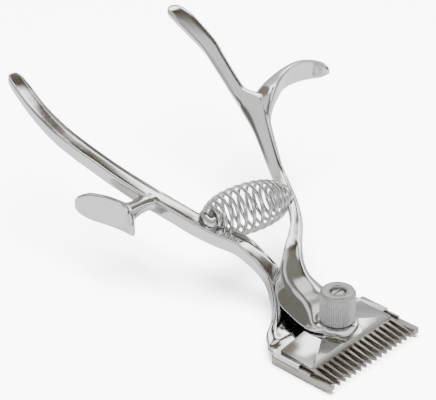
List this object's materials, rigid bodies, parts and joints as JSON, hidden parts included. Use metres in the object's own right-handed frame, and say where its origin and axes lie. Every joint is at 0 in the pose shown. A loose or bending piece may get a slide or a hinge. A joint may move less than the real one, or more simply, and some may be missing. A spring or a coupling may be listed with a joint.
{
  "type": "hand hair clipper",
  "caption": "Hand-operated hair clipper: a fixed handle with a comb blade, and a sprung lever that slides a toothed cutter across the comb under a knurled tension nut.",
  "frame": {"origin": "on the pivot stud's axis, at the comb blade's flat sole", "axes": "+Z along the stud from the comb's sole towards the tension nut, +Y from the teeth towards the handles' tips, +X towards the moving lever"},
  "size_m": [0.1277, 0.1852, 0.0565],
  "materials": {
    "plated_steel": "polished nickel-plated steel",
    "blade_steel": "ground steel",
    "fastener_steel": "turned steel",
    "spring_steel": "plated spring wire",
    "nut_steel": "satin, straight knurl",
    "washer_brass": "plain"
  },
  "bodies": {
    "frame": {"fixed_handle": "plated_steel", "comb_blade": "blade_steel", "comb_screws": "fastener_steel", "pivot_stud": "fastener_steel", "stud_end_screw": "fastener_steel", "fixed_spring_peg": "plated_steel", "barrel_spring": "spring_steel", "thrust_washer": "washer_brass"},
    "lever": {"moving_lever": "plated_steel", "drive_pin": "fastener_steel", "lever_spring_peg": "plated_steel"},
    "cutter": {"cutter_blade": "blade_steel", "bridge_plate": "plated_steel", "cutter_rivets": "fastener_steel"},
    "nut": {"tension_nut": "nut_steel", "pressure_spring": "spring_steel"}
  },
  "joints": [
    {"name": "lever_pivot", "type": "hinge", "parent": "frame", "child": "lever", "pos_m": [0, 0, 0], "axis": [0, 0, 1], "range_deg": [0, 14], "stiffness_Nm_per_rad": 3.5, "springref_deg": -5.73, "deforming": ["barrel_spring"]},
    {"name": "cutter_slide", "type": "slide", "parent": "frame", "child": "cutter", "axis": [1, 0, 0], "range_m": [0, 0.00132]},
    {"name": "nut_turn", "type": "hinge", "parent": "frame", "child": "nut", "pos_m": [0, 0, 0], "axis": [0, 0, 1], "continuous": true}
  ],
  "couplings": [
    {"joint": "cutter_slide", "follows": "lever_pivot", "m_per_rad": 0.0054}
  ]
}
